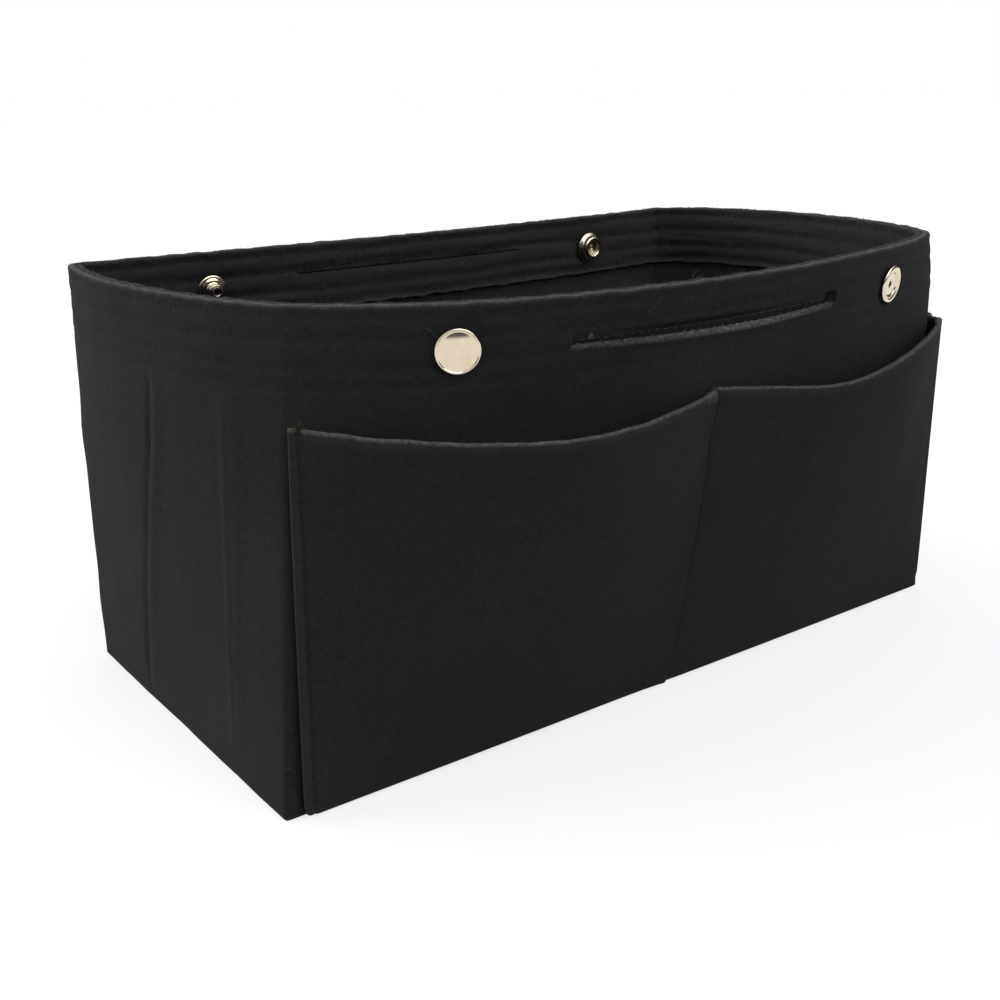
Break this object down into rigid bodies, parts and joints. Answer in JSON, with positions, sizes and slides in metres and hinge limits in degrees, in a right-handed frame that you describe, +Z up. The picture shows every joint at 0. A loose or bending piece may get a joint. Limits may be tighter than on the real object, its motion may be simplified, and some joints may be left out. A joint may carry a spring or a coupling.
{
  "type": "purse organizer insert",
  "caption": "Open felt organizer insert for a handbag, with outer and inner pockets, hand slots in its long walls and press snaps that draw its ends together.",
  "frame": {"origin": "centre of the base panel's underside, on the surface the organizer stands on", "axes": "+X along the front to the right, +Y from the front wall to the back wall, +Z up"},
  "size_m": [0.3038, 0.1899, 0.144],
  "materials": {
    "felt": "matt black needle felt",
    "nickel": "polished nickel",
    "spring_steel": "drawn wire"
  },
  "bodies": {
    "root": {"base_panel": "felt", "left_end_gusset": "felt", "left_end_facing": "felt", "left_end_holder": "felt", "right_end_gusset": "felt", "right_end_facing": "felt"},
    "front": {"front_wall": "felt", "front_facing": "felt", "front_pocket_panel": "felt", "front_inner_pocket_panel": "felt", "front_left_snap_cap": "nickel", "front_left_snap_socket": "nickel", "front_left_snap_spring": "spring_steel", "front_right_snap_ring": "nickel", "front_right_snap_stud": "nickel"},
    "back": {"back_wall": "felt", "back_facing": "felt", "back_pocket_panel": "felt", "back_inner_pocket_panel": "felt", "back_left_snap_ring": "nickel", "back_left_snap_stud": "nickel", "back_right_snap_cap": "nickel", "back_right_snap_socket": "nickel", "back_right_snap_spring": "spring_steel"}
  },
  "joints": [
    {"name": "front_lean", "type": "hinge", "parent": "root", "child": "front", "pos_m": [0, -0.0705, 0.0025], "axis": [-1, 0, 0], "range_deg": [0, 29], "stiffness_Nm_per_rad": 0.08, "springref_deg": -6.88, "deforming": ["left_end_gusset", "left_end_facing", "left_end_holder", "right_end_gusset", "right_end_facing"]},
    {"name": "back_lean", "type": "hinge", "parent": "root", "child": "back", "pos_m": [0, 0.0705, 0.0025], "axis": [1, 0, 0], "range_deg": [0, 29], "stiffness_Nm_per_rad": 0.08, "springref_deg": -6.88, "deforming": ["left_end_gusset", "left_end_facing", "left_end_holder", "right_end_gusset", "right_end_facing"]}
  ],
  "couplings": [
    {"joint": "back_lean", "follows": "front_lean", "ratio": 1}
  ]
}
